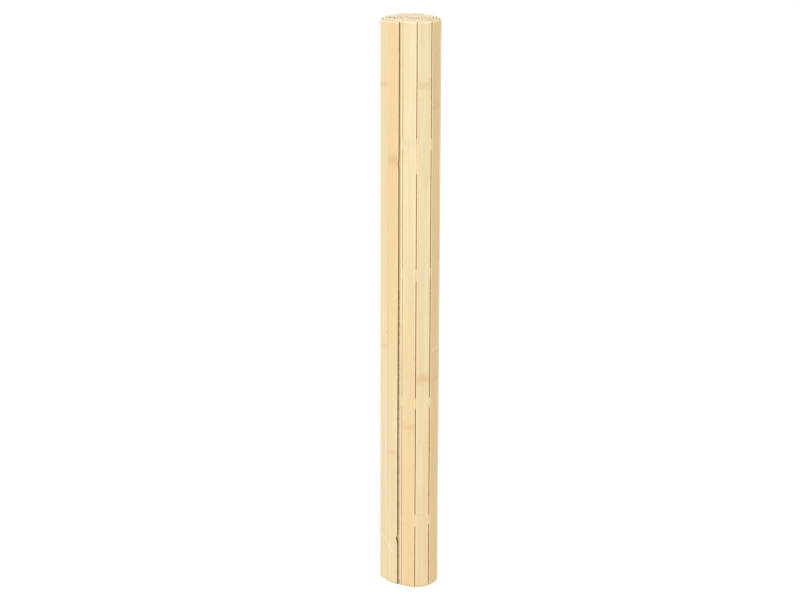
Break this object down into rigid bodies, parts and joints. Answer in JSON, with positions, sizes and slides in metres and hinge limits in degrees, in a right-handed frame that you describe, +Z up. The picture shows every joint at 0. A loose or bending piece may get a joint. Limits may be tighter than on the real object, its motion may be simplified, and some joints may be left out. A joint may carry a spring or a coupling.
{
  "type": "rolled bamboo rug",
  "caption": "Rug of long flat bamboo slats on woven backing tapes, rolled up tight with the slats outside and stood on end.",
  "frame": {"origin": "on the floor, under the middle of the roll's box", "axes": "+Z up along the slats; -Y is the front, where the rug's outer end lies on the roll; +X to the right seen from the front"},
  "size_m": [0.082, 0.08, 0.8],
  "materials": {
    "bamboo": "pale natural bamboo, lacquered to a low satin, with darker bands at the culm nodes",
    "tape": "flat woven tape, light tan, matt"
  },
  "bodies": {
    "root": {"slat_roll": "bamboo"}
  },
  "joints": []
}
